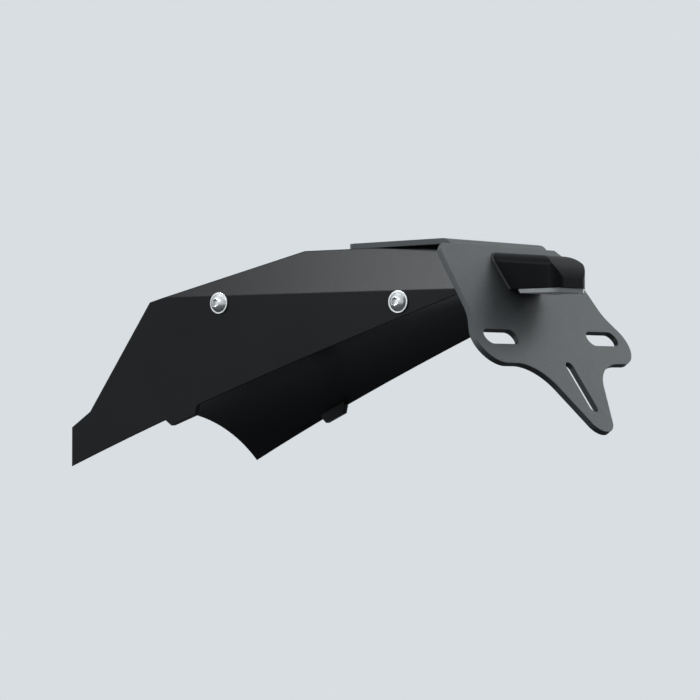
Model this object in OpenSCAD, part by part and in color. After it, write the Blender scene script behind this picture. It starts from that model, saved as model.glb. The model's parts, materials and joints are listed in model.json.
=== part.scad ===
// Motorcycle tail tidy: plate bracket, LED plate lamp and undertray.
// X is to the right of the vehicle, Y forward, Z up, in millimetres.
// The origin is the middle of the four mounting holes, on top of the flange.

/* [Plate bracket] */
// thickness of the steel sheet
sheet_t = 3; // [2.5:0.5:4]
// lean of the plate from the vertical, in degrees
plate_tilt = 36; // [32:1:40]
// inner radius of the fold between plate and flange
bend_r = 4; // [3:0.5:5]
// width of the plate under its fold
plate_top_w = 102; // [96:1:106]
// width of the plate above its ears
plate_side_w = 110.5; // [108:0.5:114]
// distance between the centres of the two upper slots
slot_spacing = 85; // [80:1:88]
// overall length of an upper slot
slot_l = 26; // [22:1:28]
// width of an upper slot
slot_w = 9.4; // [7:0.1:10]
// metal left outside each upper slot
ear_margin = 7.8; // [7:0.1:9]
// radius of the ear ends
ear_r = 14.8; // [14:0.2:15.4]
// radius of the curve from ear to tongue
root_r = 26; // [20:1:28]
// distance from the slot line down to the tongue's tip
tongue_l = 60; // [57:1:66]
// radius of the tongue's tip
tongue_r = 9.8; // [9:0.2:10.4]
// width of the slot in the tongue
tongue_slot_w = 6; // [5:0.1:7]
// overall length of the slot in the tongue
tongue_slot_l = 31.5; // [24:0.5:34]

/* [Mounting flange] */
// width of the flange
flange_w = 80; // [78:1:84]
// flat length of the flange
flange_l = 72; // [68:1:78]
// distance between the mounting holes across the vehicle
mount_x = 28; // [26:1:32]
// distance between the mounting holes along the vehicle
mount_y = 44; // [40:1:46]
// diameter of the mounting holes
mount_d = 6.5; // [6.4:0.1:7]

/* [Undertray] */
// wall thickness of the moulding
tray_t = 3; // [2.5:0.5:3]
// half width at the front end
tray_front_w = 76; // [74:1:80]
// half width behind the plate
tray_rear_w = 38; // [37:1:40]
// inward lean of the walls above their bend, in degrees
wall_lean = 14; // [8:1:15]
// radius of the crowned floor
floor_r = 109; // [105:1:120]
// fall of the floor towards the front, in degrees
floor_slope = 14.7; // [13:0.1:16]

/* [Plate lamp] */
// width of the lamp
lamp_w = 28; // [27:0.5:32]
// radius of the domed nose, seen from the side
lamp_nose_r = 14.5; // [14:0.25:15]
// rounding along the two upper edges
lamp_edge_r = 6; // [5:0.5:7]
// thickness of the lens edge under the housing
lens_t = 2.2; // [2:0.1:3]
// wall thickness of the housing
lamp_wall = 2; // [1.5:0.1:2.2]

/* [Fasteners] */
// radius of the M6 shanks
m6_r = 3; // [2.9:0.05:3]
// radius of the M5 shanks
m5_r = 2.5; // [2.4:0.05:2.5]
// radius of the M4 shanks
m4_r = 2; // [1.9:0.05:2]
// play between a shank and its thread or hole
shank_gap = 0.1; // [0.05:0.05:0.2]

/* [Hidden] */
$fn = 64;
eps = 0.02;
// how far a line runs into the arc that follows it
blend = 0.03;
flange_top = 52;
plate_front_y = flange_top * tan(plate_tilt);
bend_a = 90 - plate_tilt;
bend_ro = bend_r + sheet_t;
bend_run = bend_ro * tan(bend_a / 2);
plate_flat = flange_top / cos(plate_tilt) - bend_run;
flange_y0 = plate_front_y + bend_run;
mount_cy = flange_y0 + flange_l / 2;

// plate outline: half points, seen from the back of the vehicle, x right and y down
ear_c = [slot_spacing / 2 + slot_l / 2 + ear_margin - ear_r, 1.9];
side_p = [plate_side_w / 2, -16];
side_r = 24;
root_p = [26, 16.8];
tip_c = [0, tongue_l - tongue_r];
tongue_margin = 12.6;

// undertray: stations along Y and heights
tray_front_y = 299;
tray_mid_y = 40;
tray_top = flange_top - sheet_t;
tray_gap = 2;
taper = (tray_front_w - tray_rear_w) / (tray_front_y - tray_mid_y);
yaw = atan(taper);
crown_z = 27.5;
lip_in = 20.5;
lip_y1 = 122;
wall_bend_z = 25.6;
wall_rise = 1;
tab_y = 217;
tab_z = -40.5;
tab_l = 24;
tab_drop = 4.2;

// tray bolts: station, height
tray_bolt = [[189.5, 21.5], [70, 19.5]];
head6_r = 5.25;
head6_h = 3.3;
washer6_r = 6;
washer6_t = 1;
boss_r = 7;
boss_l = 8;
insert_r = 3.9;
insert_l = 7;

// joint between flange and tray
join_x = 27;
join_dy = 18;
join_l = 16;
csk_r = 4.8;
csk_h = 2.6;
nut5_af = 8;
nut5_h = 5;
washer5_r = 5;
washer5_t = 1;

// lamp
lamp_z0 = 25.4;
lamp_rear_y = -13.3;
lamp_corner = 6;
lamp_nose_c = [lamp_rear_y + lamp_nose_r - 0.15, 28.3];
lamp_roof_a = 5;
lamp_far = 120;
gasket_t = 1.5;
lamp_v = lamp_z0 / cos(plate_tilt) + 5.1;
lamp_cable_v = lamp_v + 11;
lamp_screw_x = 8;
led_x = [-6.5, 0, 6.5];
led_y = -3.5;
lamp_boss_r = 3.6;
lamp_boss_l = 7;
cable_r = 2.6;
grommet_r = 4;
grommet_rim = 1.5;
board_z = lamp_z0 + 8;
reflector_h = 5.4;

black_steel = [0.13, 0.13, 0.14];
black_abs = [0.07, 0.07, 0.075];
stainless = [0.78, 0.79, 0.8];
black_rubber = [0.06, 0.06, 0.06];

// end of the line from p that runs into the circle round c, on side s
function touch(p, c, r, s) =
    let (d = c - p, l = norm(d), a = atan2(d[1], d[0]), k = r - blend, b = asin(k / l))
    p + sqrt(l * l - k * k) * [cos(a + s * b), sin(a + s * b)];

// half width of the tray at station y
function tray_w(y) = tray_rear_w + (y - tray_mid_y) * taper;

function unit(v) = v / norm(v);

// moves from the slot line of the plate to the middle of the mounting holes
module at_mount() {
    translate([0, -mount_cy, -flange_top]) children();
}

// moves from the plate's own plane to the vehicle's frame; z = 0 is the front face
module on_plate() {
    rotate([90 - plate_tilt, 0, 0]) children();
}

// fills the inner corner at q, between the lines to a and b, with radius r
module corner_fill(q, a, b, r) {
    e1 = unit(a - q);
    e2 = unit(b - q);
    h = acos(e1 * e2) / 2;
    m = unit(e1 + e2);
    c = q + m * r / sin(h);
    difference() {
        polygon([q - 3 * m, q + e1 * r / tan(h), c, q + e2 * r / tan(h)]);
        translate(c) circle(r = r + blend);
    }
}

module slot2d(l, w) {
    square([l - w, w], center = true);
    translate([-(l - w) / 2, 0]) circle(d = w);
    translate([(l - w) / 2, 0]) circle(d = w);
}

module plate_half() {
    t1 = touch(side_p, ear_c, ear_r, -1);
    t2 = touch(root_p, ear_c, ear_r, 1);
    t3 = touch(root_p, tip_c, tongue_r, -1);
    polygon([[0, -plate_flat], [plate_top_w / 2 - 4, -plate_flat],
        [plate_top_w / 2, 4 - plate_flat], side_p, t1, ear_c, t2, root_p, t3, tip_c]);
    translate(ear_c) circle(r = ear_r);
    corner_fill(side_p, [plate_top_w / 2, 4 - plate_flat], t1, side_r);
    corner_fill(root_p, t2, t3, root_r);
}

module plate_outline() {
    plate_half();
    mirror([1, 0]) plate_half();
    translate(tip_c) circle(r = tongue_r);
}

module plate_cuts() {
    for (s = [-1, 1]) {
        translate([s * slot_spacing / 2, 0]) slot2d(slot_l, slot_w);
        translate([s * lamp_screw_x, -lamp_v]) circle(r = m4_r + 0.25);
    }
    translate([0, tongue_l - tongue_margin - tongue_slot_l / 2])
        rotate(90) slot2d(tongue_slot_l, tongue_slot_w);
    translate([0, -lamp_cable_v]) circle(r = grommet_r);
}

module flange_outline() {
    y1 = flange_y0 + flange_l;
    translate([-flange_w / 2, flange_y0]) square([flange_w, flange_l - 10]);
    translate([-flange_w / 2 + 10, flange_y0]) square([flange_w - 20, flange_l]);
    for (s = [-1, 1])
        translate([s * (flange_w / 2 - 10), y1 - 10]) circle(r = 10);
}

module flange_cuts() {
    for (sx = [-1, 1], sy = [-1, 1])
        translate([sx * mount_x / 2, mount_cy + sy * mount_y / 2]) circle(d = mount_d);
    translate([0, mount_cy]) circle(r = grommet_r);
}

module at_joins() {
    for (sx = [-1, 1], sy = [-1, 1])
        translate([sx * join_x, mount_cy + sy * join_dy, 0]) children();
}

// countersunk head and shank, top face at z = top
module csk_shape(r_head, r_shank, h, l, top = 0) {
    rotate_extrude()
        polygon([[0, top], [r_head, top], [r_head, -0.3], [r_shank, -h], [r_shank, -l], [0, -l]]);
}

module plate_bracket() {
    color(black_steel) at_mount() {
        on_plate() translate([0, 0, -sheet_t]) linear_extrude(sheet_t)
            scale([1, -1]) difference() {
                plate_outline();
                plate_cuts();
            }
        // fold
        translate([0, flange_y0, flange_top - bend_ro]) rotate([90, 0, 90])
            linear_extrude(flange_w, center = true) intersection() {
                difference() {
                    circle(r = bend_ro);
                    circle(r = bend_r);
                }
                polygon([[0, 0], [0, 20], [-20 * tan(bend_a / 2), 20],
                    [-20 * sin(bend_a) * 1.2, 20 * cos(bend_a) * 1.2]]);
            }
        difference() {
            translate([0, 0, flange_top - sheet_t]) linear_extrude(sheet_t) difference() {
                flange_outline();
                flange_cuts();
            }
            translate([0, 0, flange_top]) at_joins()
                csk_shape(csk_r + shank_gap, m5_r + shank_gap, csk_h + 0.2, 8, 1);
        }
    }
}

// plan of the tray between its flat side walls, set in by t
module tray_plan(t, y0, y1) {
    k = t / cos(yaw);
    polygon([[-tray_w(y0) + k, y0], [tray_w(y0) - k, y0],
        [tray_w(y1) - k, y1], [-tray_w(y1) + k, y1]]);
}

// long round bar that shapes the crowned floor, raised by t
module floor_bar(t) {
    translate([0, tray_mid_y, crown_z]) rotate([-floor_slope, 0, 0])
        translate([0, 0, -floor_r]) rotate([90, 0, 0])
            cylinder(r = floor_r + t, h = 700, center = true, $fn = 180);
}

// side view of the tray, set in by t at its rear end only
module tray_side(h = 200) {
    back = tray_gap + sheet_t;
    yb = back / cos(plate_tilt);
    k = tan(plate_tilt);
    rotate([90, 0, 90]) linear_extrude(h, center = true) polygon([
        [yb + tray_top * k, tray_top], [lip_y1 + 14, tray_top], [240, 23], [tray_front_y, -38],
        [tray_front_y, -110], [yb - 110 * k, -110]]);
}

// space between the two leaning upper walls, set in by t
module lean_half(t) {
    translate([-tray_rear_w, tray_mid_y, wall_bend_z]) rotate([0, 0, yaw])
        rotate([wall_rise, wall_lean, 0]) translate([t, -400, -400]) cube([800, 800, 800]);
}

// everything between the side walls, set in by t
module tray_core(t, y0, y1) {
    intersection() {
        translate([0, 0, -110]) linear_extrude(180) tray_plan(t, y0, y1);
        lean_half(t);
        mirror([1, 0, 0]) lean_half(t);
    }
}

module tray_shell() {
    intersection() {
        tray_core(0, 0, tray_front_y + 1);
        difference() {
            tray_side();
            floor_bar(0);
            difference() {
                tray_core(tray_t, -10, tray_front_y + 20);
                floor_bar(tray_t);
            }
        }
    }
}

module tray_lips() {
    intersection() {
        translate([-100, 0, tray_top - tray_t]) cube([200, 200, tray_t]);
        difference() {
            tray_core(tray_t / 2, 0, lip_y1);
            translate([-lip_in, 0, 0]) cube([2 * lip_in, 200, 100]);
        }
        tray_side();
    }
}

// cross ribs inside the floor
module tray_ribs() {
    for (y = [146, 226])
        difference() {
            intersection() {
                translate([0, 0, -110]) linear_extrude(180) tray_plan(tray_t / 2, y, y + 2.5);
                floor_bar(tray_t + 7);
            }
            floor_bar(tray_t / 2);
        }
}

// small tabs under the lower edges of the side walls
module tray_tabs() {
    intersection() {
        translate([0, 0, -110]) linear_extrude(180) difference() {
            tray_plan(0, tab_y - tab_l, tab_y + tab_l);
            tray_plan(tray_t, tab_y - 2 * tab_l, tab_y + 2 * tab_l);
        }
        translate([0, tab_y, tab_z]) rotate([-20, 0, 0]) rotate([90, 0, 90])
            linear_extrude(200, center = true)
                polygon([[-tab_l / 2, 6], [tab_l / 2, 6], [tab_l / 2, 0], [tab_l / 2 - 3, -tab_drop],
                    [3 - tab_l / 2, -tab_drop], [-tab_l / 2, 0]]);
    }
}

// places children at each side bolt, z outwards from the wall
module at_tray_bolts() {
    for (p = tray_bolt) {
        translate([-tray_w(p[0]), p[0], p[1]]) rotate([0, 0, yaw]) rotate([0, -90, 0])
            children();
        translate([tray_w(p[0]), p[0], p[1]]) rotate([0, 0, -yaw]) rotate([0, 90, 0])
            children();
    }
}

module undertray() {
    color(black_abs) at_mount() difference() {
        union() {
            tray_shell();
            tray_lips();
            tray_ribs();
            tray_tabs();
            difference() {
                at_tray_bolts() translate([0, 0, -tray_t / 2 - boss_l])
                    cylinder(r = boss_r, h = boss_l);
                floor_bar(tray_t / 2);
            }
        }
        // bores for the threaded inserts
        at_tray_bolts() {
            translate([0, 0, -tray_t - insert_l]) cylinder(r = insert_r, h = insert_l + eps);
            translate([0, 0, -tray_t - 1]) cylinder(r = m6_r + 0.3, h = tray_t + 2);
        }
        // holes for the screws of the joint
        at_joins() translate([0, 0, tray_top - tray_t - 1]) cylinder(r = m5_r + 0.25, h = tray_t + 2);
        // front edges of the side walls
        for (s = [-1, 1])
            translate([s * 100, 0, 0]) rotate([90, 0, 90]) linear_extrude(100, center = true)
                polygon([[240, 60], [240, 23], [285, -40], [300, -50], [320, -50], [320, 60]]);
        // notch behind the lamp
        translate([-22, 0, 0]) cube([44, 48, 46]);
    }
}

module tray_bolts() {
    ball = (head6_r * head6_r + head6_h * head6_h) / (2 * head6_h);
    color(stainless) at_mount() at_tray_bolts() translate([0, 0, washer6_t]) difference() {
        union() {
            intersection() {
                translate([0, 0, head6_h - ball]) sphere(r = ball);
                cylinder(r = head6_r + 1, h = head6_h);
            }
            translate([0, 0, -10]) cylinder(r = m6_r, h = 10 + eps);
        }
        translate([0, 0, head6_h - 2]) cylinder(d = 4 / cos(30), h = 3, $fn = 6);
    }
}

module tray_washers() {
    color(stainless) at_mount() at_tray_bolts() difference() {
        cylinder(r = washer6_r, h = washer6_t);
        translate([0, 0, -1]) cylinder(r = m6_r + 0.2, h = washer6_t + 2);
    }
}

module tray_inserts() {
    color([0.72, 0.6, 0.33]) at_mount() at_tray_bolts() translate([0, 0, -tray_t - insert_l]) difference() {
        cylinder(r = insert_r, h = insert_l);
        translate([0, 0, -1]) cylinder(r = m6_r + shank_gap, h = insert_l + 2);
    }
}

module join_screws() {
    color([0.1, 0.1, 0.1]) at_mount() translate([0, 0, flange_top - 0.1]) at_joins() difference() {
        csk_shape(csk_r, m5_r, csk_h, join_l);
        translate([0, 0, -1.6]) cylinder(d = 3 / cos(30), h = 3, $fn = 6);
    }
}

module join_washers() {
    color(stainless) at_mount() translate([0, 0, tray_top - tray_t - washer5_t]) at_joins() difference() {
        cylinder(r = washer5_r, h = washer5_t);
        translate([0, 0, -1]) cylinder(r = m5_r + 0.2, h = washer5_t + 2);
    }
}

module join_nuts() {
    color(stainless) at_mount() translate([0, 0, tray_top - tray_t - washer5_t - nut5_h]) at_joins()
        difference() {
            union() {
                translate([0, 0, 1.2]) cylinder(d = nut5_af / cos(30), h = nut5_h - 1.2, $fn = 6);
                cylinder(r = nut5_af / 2 - 0.3, h = 1.3);
            }
            translate([0, 0, -1]) cylinder(r = m5_r + shank_gap, h = nut5_h + 2);
        }
}

// plan of the lamp, set in by t
module lamp_plan(t) {
    w = lamp_w / 2 - t;
    r = lamp_corner - t;
    y0 = lamp_rear_y + t;
    translate([-w, y0 + r]) square([2 * w, lamp_far]);
    translate([-w + r, y0]) square([2 * (w - r), lamp_far]);
    for (s = [-1, 1]) translate([s * (w - r), y0 + r]) circle(r = r);
}

// what the nose takes away, seen from the side, round the nose's centre
module nose_cut(t) {
    r = lamp_nose_r - t;
    c = cos(lamp_roof_a);
    s = sin(lamp_roof_a);
    difference() {
        polygon([[-9 - r, 0], [0, 0], [-(r + 9) * s, (r + 9) * c], [-9 - r, r + 9]]);
        circle(r = r + blend);
    }
}

// what the rounding along one upper edge takes away, square to the roof
module edge_cut(t) {
    r = lamp_edge_r - t;
    x = lamp_w / 2 - t - r + 0.1;
    h = lamp_nose_r - t - r + 0.1;
    difference() {
        polygon([[x, h], [x + r + 9, h], [x + r + 9, h + r + 9], [x, h + r + 9]]);
        translate([x, h]) circle(r = r);
    }
}

// outer form of the lamp, set in by t, open towards the plate and below
module lamp_form(t) {
    difference() {
        linear_extrude(lamp_far) lamp_plan(t);
        translate([0, lamp_nose_c[0], lamp_nose_c[1]]) {
            rotate([lamp_roof_a, 0, 0]) translate([-lamp_far / 2, -lamp_far, lamp_nose_r - t])
                cube([lamp_far, 2 * lamp_far, lamp_far]);
            rotate([90, 0, 90]) linear_extrude(lamp_far, center = true) nose_cut(t);
            for (s = [0, 1])
                mirror([s, 0, 0]) rotate([90 + lamp_roof_a, 0, 0])
                    linear_extrude(2 * lamp_far, center = true) edge_cut(t);
        }
    }
}

// level slice between two heights
module slice(z0, z1) {
    translate([-lamp_far / 2, -lamp_far / 2, z0]) cube([lamp_far, lamp_far, z1 - z0]);
}

// everything behind a plane at distance d in front of the plate
module front_of(d) {
    on_plate() translate([-lamp_far / 2, -lamp_far / 4, d]) cube(lamp_far);
}

module at_lamp_screws() {
    on_plate() for (s = [-1, 1]) translate([s * lamp_screw_x, lamp_v, 0]) children();
}

module lamp_housing() {
    color([0.05, 0.05, 0.055]) at_mount() difference() {
        union() {
            intersection() {
                difference() {
                    lamp_form(0);
                    intersection() {
                        lamp_form(lamp_wall);
                        front_of(gasket_t + 2.4);
                    }
                }
                slice(lamp_z0, lamp_z0 + 30);
                front_of(gasket_t);
            }
            intersection() {
                at_lamp_screws() translate([0, 0, gasket_t]) cylinder(r = lamp_boss_r, h = lamp_boss_l);
                slice(lamp_z0 + 1, lamp_z0 + 30);
            }
        }
        at_lamp_screws() cylinder(r = m4_r + shank_gap, h = gasket_t + lamp_boss_l - 1);
        on_plate() translate([0, lamp_cable_v, 0]) cylinder(r = cable_r, h = gasket_t + 3.5);
    }
}

module lamp_lens() {
    color([0.9, 0.93, 0.95, 0.6]) at_mount() intersection() {
        union() {
            translate([0, 0, lamp_z0 - lens_t]) linear_extrude(lens_t) lamp_plan(0.4);
            translate([0, 0, lamp_z0 - eps]) linear_extrude(0.8 + eps) lamp_plan(lamp_wall + 1.2);
        }
        front_of(gasket_t + 3.4);
    }
}

module lamp_seal() {
    color([0.15, 0.15, 0.15]) at_mount() intersection() {
        translate([0, 0, lamp_z0]) linear_extrude(0.8) difference() {
            lamp_plan(lamp_wall + 0.1);
            lamp_plan(lamp_wall + 1.1);
        }
        front_of(gasket_t + 3.4);
    }
}

module lamp_reflector() {
    color([0.93, 0.93, 0.92]) at_mount() difference() {
        intersection() {
            slice(board_z - reflector_h, board_z);
            lamp_form(lamp_wall + 0.3);
            front_of(gasket_t + lamp_boss_l + 1);
        }
        intersection() {
            slice(board_z - reflector_h - 1, board_z - 1);
            lamp_form(lamp_wall + 1.5);
            front_of(gasket_t + lamp_boss_l + 2.2);
        }
        for (x = led_x) translate([x, led_y, board_z - 2]) cylinder(r = 2.9, h = 4);
    }
}

module lamp_board() {
    color([0.1, 0.32, 0.16]) at_mount() intersection() {
        slice(board_z, board_z + 1.2);
        lamp_form(lamp_wall + 0.3);
        front_of(gasket_t + lamp_boss_l + 0.6);
    }
}

module lamp_leds() {
    color([0.98, 0.95, 0.75]) at_mount() for (x = led_x) translate([x, led_y, 0]) {
        translate([0, 0, board_z - 1.2]) cylinder(r = 2.7, h = 1.2);
        intersection() {
            translate([0, 0, board_z - 1.2]) sphere(r = 2.4);
            translate([-3, -3, board_z - 4]) cube([6, 6, 2.9]);
        }
    }
}

module lamp_resistors() {
    color([0.16, 0.16, 0.17]) at_mount() for (x = [-7.5, -3, 3, 7.5])
        translate([x - 1.2, -6.5, board_z + 1.2]) cube([2.4, 1.4, 0.8]);
}

module lamp_gasket() {
    color([0.09, 0.09, 0.09]) at_mount() difference() {
        intersection() {
            on_plate() translate([-lamp_w, 0, 0]) cube([2 * lamp_w, lamp_far, gasket_t]);
            lamp_form(0.2);
            slice(lamp_z0, lamp_z0 + 30);
        }
        at_lamp_screws() translate([0, 0, -1]) cylinder(r = m4_r + 0.25, h = gasket_t + 2);
        on_plate() translate([0, lamp_cable_v, -1]) cylinder(r = grommet_r + grommet_rim, h = gasket_t + 2);
    }
}

module lamp_screws() {
    color(stainless) at_mount() at_lamp_screws() translate([0, 0, -sheet_t - 0.8]) difference() {
        union() {
            translate([0, 0, -1]) cylinder(r = m4_r, h = sheet_t + gasket_t + 6.8);
            translate([0, 0, -2.6]) cylinder(r = 3.6, h = 2.6);
        }
        translate([0, 0, -3]) cylinder(d = 2.5 / cos(30), h = 1.9, $fn = 6);
    }
}

module lamp_washers() {
    color(stainless) at_mount() at_lamp_screws() translate([0, 0, -sheet_t - 0.8]) difference() {
        cylinder(r = 4.5, h = 0.8);
        translate([0, 0, -1]) cylinder(r = m4_r + 0.2, h = 3);
    }
}

// rubber grommet in a sheet whose faces are z = 0 and z = -sheet_t, rim_h high behind it
module grommet(rim_h) {
    difference() {
        union() {
            cylinder(r = grommet_r + grommet_rim - 0.2, h = gasket_t - 0.1);
            translate([0, 0, -sheet_t - rim_h + 0.1]) cylinder(r = grommet_r - 0.05, h = sheet_t + rim_h);
            if (rim_h > 0)
                translate([0, 0, -sheet_t - rim_h]) cylinder(r = grommet_r + grommet_rim, h = rim_h);
        }
        translate([0, 0, -sheet_t - 3]) cylinder(r = cable_r, h = sheet_t + 6);
    }
}

module lamp_grommet() {
    color(black_rubber) at_mount() on_plate() translate([0, lamp_cable_v, 0]) grommet(1.6);
}

module flange_grommet() {
    color(black_rubber) at_mount() translate([0, mount_cy, flange_top - sheet_t])
        rotate([180, 0, 0]) grommet(0);
}

plate_bracket();
undertray();
tray_bolts();
tray_washers();
tray_inserts();
join_screws();
join_washers();
join_nuts();
lamp_housing();
lamp_lens();
lamp_seal();
lamp_reflector();
lamp_board();
lamp_leds();
lamp_resistors();
lamp_gasket();
lamp_screws();
lamp_washers();
lamp_grommet();
flange_grommet();
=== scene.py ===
"""Looks of the tail tidy: materials, stage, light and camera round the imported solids."""

import bpy
import json
import math
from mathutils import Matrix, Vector

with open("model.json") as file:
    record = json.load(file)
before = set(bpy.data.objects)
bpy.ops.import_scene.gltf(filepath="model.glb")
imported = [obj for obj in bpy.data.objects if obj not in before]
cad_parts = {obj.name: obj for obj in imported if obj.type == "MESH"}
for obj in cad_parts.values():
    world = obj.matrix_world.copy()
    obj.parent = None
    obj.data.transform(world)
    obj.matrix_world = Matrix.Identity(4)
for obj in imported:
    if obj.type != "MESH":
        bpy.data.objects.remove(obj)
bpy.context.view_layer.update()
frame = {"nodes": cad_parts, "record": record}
nodes = frame["nodes"]
scene = bpy.context.scene


# nodes that the materials share

# nearly all values of a noise texture lie between these
NOISE_LOW, NOISE_HIGH = 0.25, 0.75


def material(name):
    m = bpy.data.materials.new(name)
    m.use_nodes = True
    return m, m.node_tree, m.node_tree.nodes["Principled BSDF"]


def add(tree, kind, **settings):
    """Adds a node and sets its own settings, such as the operation of a Math node."""
    node = tree.nodes.new(kind)
    for key, value in settings.items():
        setattr(node, key, value)
    return node


def noise(tree, scale, detail):
    """Noise in the piece's own coordinates, which are metres."""
    texture = add(tree, "ShaderNodeTexNoise")
    texture.inputs["Scale"].default_value = scale
    texture.inputs["Detail"].default_value = detail
    coords = add(tree, "ShaderNodeTexCoord")
    tree.links.new(coords.outputs["Object"], texture.inputs["Vector"])
    return texture.outputs["Fac"]


def spread(tree, source, low, high, start=NOISE_LOW, end=NOISE_HIGH):
    """Maps a value from start .. end to low .. high, smoothly at both ends."""
    ramp = add(tree, "ShaderNodeMapRange", interpolation_type="SMOOTHSTEP")
    limits = {"From Min": start, "From Max": end, "To Min": low, "To Max": high}
    for socket, value in limits.items():
        ramp.inputs[socket].default_value = value
    tree.links.new(source, ramp.inputs["Value"])
    return ramp.outputs["Result"]


def tint(tree, source, dark, light):
    """Turns noise into a colour between dark and light."""
    ramp = add(tree, "ShaderNodeValToRGB")
    ramp.color_ramp.interpolation = "EASE"
    first, last = ramp.color_ramp.elements
    first.position, first.color = NOISE_LOW, (*dark, 1)
    last.position, last.color = NOISE_HIGH, (*light, 1)
    tree.links.new(source, ramp.inputs["Fac"])
    return ramp.outputs["Color"]


def bump(tree, height, depth, strength, under=None):
    node = add(tree, "ShaderNodeBump")
    node.inputs["Distance"].default_value = depth
    node.inputs["Strength"].default_value = strength
    tree.links.new(height, node.inputs["Height"])
    if under is not None:
        tree.links.new(under, node.inputs["Normal"])
    return node.outputs["Normal"]


def soft_edge(tree, radius):
    """A normal that rounds the edges, for the highlight along them."""
    bevel = add(tree, "ShaderNodeBevel", samples=6)
    bevel.inputs["Radius"].default_value = radius
    return bevel.outputs["Normal"]


def grained(name, grain, detail, roughness, depth, strength, edge=None):
    """A material whose fine grain moves its roughness and its bump, its shader and the grain."""
    m, tree, p = material(name)
    fine = noise(tree, grain, detail)
    tree.links.new(spread(tree, fine, *roughness), p.inputs["Roughness"])
    under = soft_edge(tree, edge) if edge else None
    tree.links.new(bump(tree, fine, depth, strength, under), p.inputs["Normal"])
    return m, p, fine


# materials of the part


def coated_steel(name):
    """Powder coat on sheet steel: dark grey, a little uneven, finely pebbled."""
    m, p, _ = grained(
        name, grain=1100, detail=2, roughness=(0.38, 0.5), depth=0.00006, strength=0.6, edge=0.0005
    )
    tree = m.node_tree
    patches = noise(tree, scale=28, detail=4)
    colour = tint(tree, patches, dark=(0.024, 0.0275, 0.0295), light=(0.034, 0.0385, 0.041))
    tree.links.new(colour, p.inputs["Base Color"])
    p.inputs["Specular IOR Level"].default_value = 0.55
    return m


def moulded_black(name, grain, roughness, depth, tone, shine):
    """Black plastic with a moulded grain. Tone scales its colour, shine its reflection."""
    m, p, _ = grained(name, grain, 2, roughness, depth, strength=0.5, edge=0.0009)
    dark = [tone * c for c in (0.013, 0.0132, 0.0142)]
    light = [tone * c for c in (0.02, 0.0204, 0.0218)]
    tree = m.node_tree
    patches = noise(tree, scale=14, detail=3)
    tree.links.new(tint(tree, patches, dark, light), p.inputs["Base Color"])
    p.inputs["Specular IOR Level"].default_value = shine
    return m


def bare_metal(name, colour, roughness):
    """Metal with no coat, such as stainless steel or brass."""
    m, p, _ = grained(
        name, grain=900, detail=3, roughness=roughness, depth=0.00002, strength=0.4, edge=0.0003
    )
    p.inputs["Base Color"].default_value = (*colour, 1)
    p.inputs["Metallic"].default_value = 1.0
    return m


def plain(name, colour, roughness):
    """A small piece's material: one colour and roughness, both varied by its grain."""
    span = (roughness - 0.05, roughness + 0.06)
    m, p, fine = grained(
        name, grain=1500, detail=2, roughness=span, depth=0.00003, strength=0.5, edge=0.0003
    )
    shaded = [0.88 * c for c in colour]
    tree = m.node_tree
    tree.links.new(tint(tree, fine, shaded, colour), p.inputs["Base Color"])
    return m


def clear(name):
    """Frosted clear plastic."""
    m, p, _ = grained(
        name, grain=400, detail=2, roughness=(0.29, 0.36), depth=0.00002, strength=0.3
    )
    p.inputs["Base Color"].default_value = (0.82, 0.85, 0.87, 1)
    p.inputs["Transmission Weight"].default_value = 0.72
    p.inputs["IOR"].default_value = 1.49
    return m


finishes = {
    "black_steel": coated_steel("powder_coat"),
    "black_plastic": moulded_black(
        "tray_plastic", grain=2200, roughness=(0.29, 0.33), depth=0.00005, tone=0.45, shine=0.14
    ),
    "lamp_black": moulded_black(
        "lamp_plastic", grain=1800, roughness=(0.38, 0.48), depth=0.00002, tone=0.35, shine=0.06
    ),
    "stainless": bare_metal("stainless", (0.66, 0.67, 0.67), (0.3, 0.4)),
    "brass": bare_metal("brass", (0.66, 0.5, 0.25), (0.25, 0.4)),
    "black_screw": plain("black_zinc", (0.03, 0.03, 0.032), 0.38),
    "clear_lens": clear("lens"),
    "rubber": plain("rubber", (0.018, 0.018, 0.019), 0.68),
    "white_plastic": plain("white_plastic", (0.82, 0.82, 0.8), 0.35),
    "board": plain("board", (0.03, 0.15, 0.06), 0.4),
    "led": plain("led", (0.9, 0.82, 0.5), 0.25),
}
for row in frame["record"]["subparts"]:
    piece = nodes[row["node"]]
    piece.data.materials.clear()
    piece.data.materials.append(finishes[row["material_slot"]])


# background: pale for the rays that see it, while lamps and a dim sky light the part

PALE = (0.69, 0.73, 0.76, 1)
SEEN_RAYS = ("Is Camera Ray", "Is Transmission Ray")
BACKGROUND_RAYS = SEEN_RAYS + ("Is Glossy Ray",)


def combine(tree, operation, first, second):
    """A Math node of an output with another output or a number."""
    node = add(tree, "ShaderNodeMath", operation=operation)
    tree.links.new(first, node.inputs[0])
    if isinstance(second, float):
        node.inputs[1].default_value = second
    else:
        tree.links.new(second, node.inputs[1])
    return node.outputs["Value"]


def rays(tree, kinds):
    """1 for a ray of one of these kinds, 0 for any other."""
    path = add(tree, "ShaderNodeLightPath")
    share = path.outputs[kinds[0]]
    for kind in kinds[1:]:
        share = combine(tree, "MAXIMUM", share, path.outputs[kind])
    return share


def blend(tree, share, lit, shown, output):
    """Sends lit to the output, and shown instead where share is 1."""
    node = add(tree, "ShaderNodeMixShader")
    for source, socket in zip((share, lit, shown), node.inputs):
        tree.links.new(source, socket)
    tree.links.new(node.outputs["Shader"], tree.nodes[output].inputs["Surface"])


# stage: a sweep of floor and backdrop, in metres

FLOOR_Z = -1.3
REACH = 3.4
BEND = 1.6
BACKDROP_TOP = 3.7
BEND_STEPS = 16
TURN = math.radians(-50)
# the backdrop's own colour fades in between these heights
FADE_LOW, FADE_HIGH = -1.12, -0.78
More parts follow.
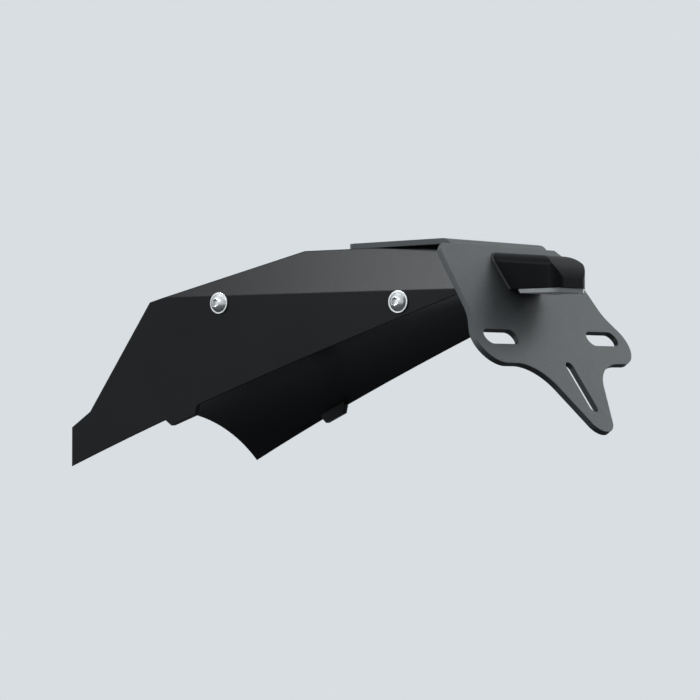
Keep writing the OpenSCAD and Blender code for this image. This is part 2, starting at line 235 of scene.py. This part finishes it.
# share of the floor's look that is its own colour, the rest is lit
FLOOR_SHARE = 0.8


def sweep():
    """A floor that bends up into a backdrop, as strips along X."""
    line = [(-REACH, FLOOR_Z), (REACH - BEND, FLOOR_Z)]
    for i in range(1, BEND_STEPS + 1):
        a = math.pi / 2 * i / BEND_STEPS
        line.append((REACH - BEND + BEND * math.sin(a), FLOOR_Z + BEND - BEND * math.cos(a)))
    line.append((REACH, BACKDROP_TOP))
    n = len(line)
    verts = [(x, y, z) for x in (-REACH, REACH) for y, z in line]
    faces = [(i, i + 1, n + i + 1, n + i) for i in range(n - 1)]
    mesh = bpy.data.meshes.new("sweep")
    mesh.from_pydata(verts, [], faces)
    for face in mesh.polygons:
        face.use_smooth = True
    o = bpy.data.objects.new("sweep", mesh)
    scene.collection.objects.link(o)
    o.rotation_euler = (0, 0, TURN)
    return o


def stage_material():
    """The backdrop shows its own pale colour. The floor is partly lit, so it keeps the shadow."""
    m, tree, p = material("pale_stage")
    p.inputs["Roughness"].default_value = 0.85
    # the floor looks pale, but bounces and mirrors only a little light under the part
    ground = add(tree, "ShaderNodeMixRGB")
    tree.links.new(rays(tree, SEEN_RAYS), ground.inputs["Fac"])
    ground.inputs["Color1"].default_value = (0.12, 0.124, 0.13, 1)
    ground.inputs["Color2"].default_value = (0.82, 0.85, 0.88, 1)
    tree.links.new(ground.outputs["Color"], p.inputs["Base Color"])

    coords = add(tree, "ShaderNodeTexCoord")
    axes = add(tree, "ShaderNodeSeparateXYZ")
    tree.links.new(coords.outputs["Object"], axes.inputs["Vector"])
    height = spread(tree, axes.outputs["Z"], 0, 1, FADE_LOW, FADE_HIGH)
    backdrop_share = combine(tree, "MULTIPLY", rays(tree, BACKGROUND_RAYS), height)
    floor_share = combine(tree, "MULTIPLY", rays(tree, SEEN_RAYS), FLOOR_SHARE)
    share = combine(tree, "MAXIMUM", backdrop_share, floor_share)

    glow = add(tree, "ShaderNodeEmission")
    glow.inputs["Color"].default_value = PALE
    blend(tree, share, p.outputs["BSDF"], glow.outputs["Emission"], "Material Output")
    return m


stage = sweep()
stage.data.materials.append(stage_material())


# world

world = bpy.data.worlds.new("world")
scene.world = world
world.use_nodes = True
sky = world.node_tree.nodes["Background"]
sky.inputs["Color"].default_value = (0.78, 0.82, 0.88, 1)
sky.inputs["Strength"].default_value = 0.16
far = add(world.node_tree, "ShaderNodeBackground")
far.inputs["Color"].default_value = PALE
blend(
    world.node_tree,
    rays(world.node_tree, BACKGROUND_RAYS),
    sky.outputs["Background"],
    far.outputs["Background"],
    "World Output",
)


# lamps

MIDDLE = Vector((0, 0.02, -0.05))
WHITE = (1, 1, 1)
COOL = (0.95, 0.985, 1)


def place(o, eye, target):
    """Links a lamp or camera, puts it at eye and turns it to the target."""
    scene.collection.objects.link(o)
    o.location = eye
    o.rotation_mode = "QUATERNION"
    o.rotation_quaternion = (target - Vector(eye)).to_track_quat("-Z", "Y")


def lamp(name, eye, size, power, colour):
    """A soft area lamp that faces the part. Size in metres, power in watts."""
    light = bpy.data.lights.new(name, "AREA")
    light.shape = "RECTANGLE"
    light.size, light.size_y = size
    light.energy = power
    light.color = colour
    place(bpy.data.objects.new(name, light), eye, MIDDLE)


lamp("key", (0.6, -1.5, 2.3), size=(1.4, 1.2), power=9, colour=WHITE)
# the bracket's plate mirrors this one to the camera
lamp("right_sky", (1.95, -0.36, 1.75), size=(1.5, 1.3), power=7, colour=(0.93, 0.985, 1))
# the light wedge on the tray's side mirrors this one
lamp("left_front", (-2.03, 0.74, 1.01), size=(0.7, 0.6), power=36, colour=COOL)
lamp("left_rear", (-1.65, -0.5, 0.75), size=(0.6, 0.5), power=4.5, colour=(0.97, 0.99, 1))
lamp("right_side", (2.4, -0.1, 0.35), size=(1.2, 1.2), power=16, colour=COOL)
lamp("top", (0.2, 0.5, 2.4), size=(2.2, 2.2), power=12, colour=COOL)


# camera

camera = bpy.data.objects.new("camera", bpy.data.cameras.new("camera"))
place(camera, (-0.898, -0.779, -0.0785), Vector((-0.016, 0.053, -0.057)))
camera.data.sensor_width = 36
camera.data.lens = 112
camera.data.clip_start = 0.05
scene.camera = camera

scene.view_settings.view_transform = "Standard"
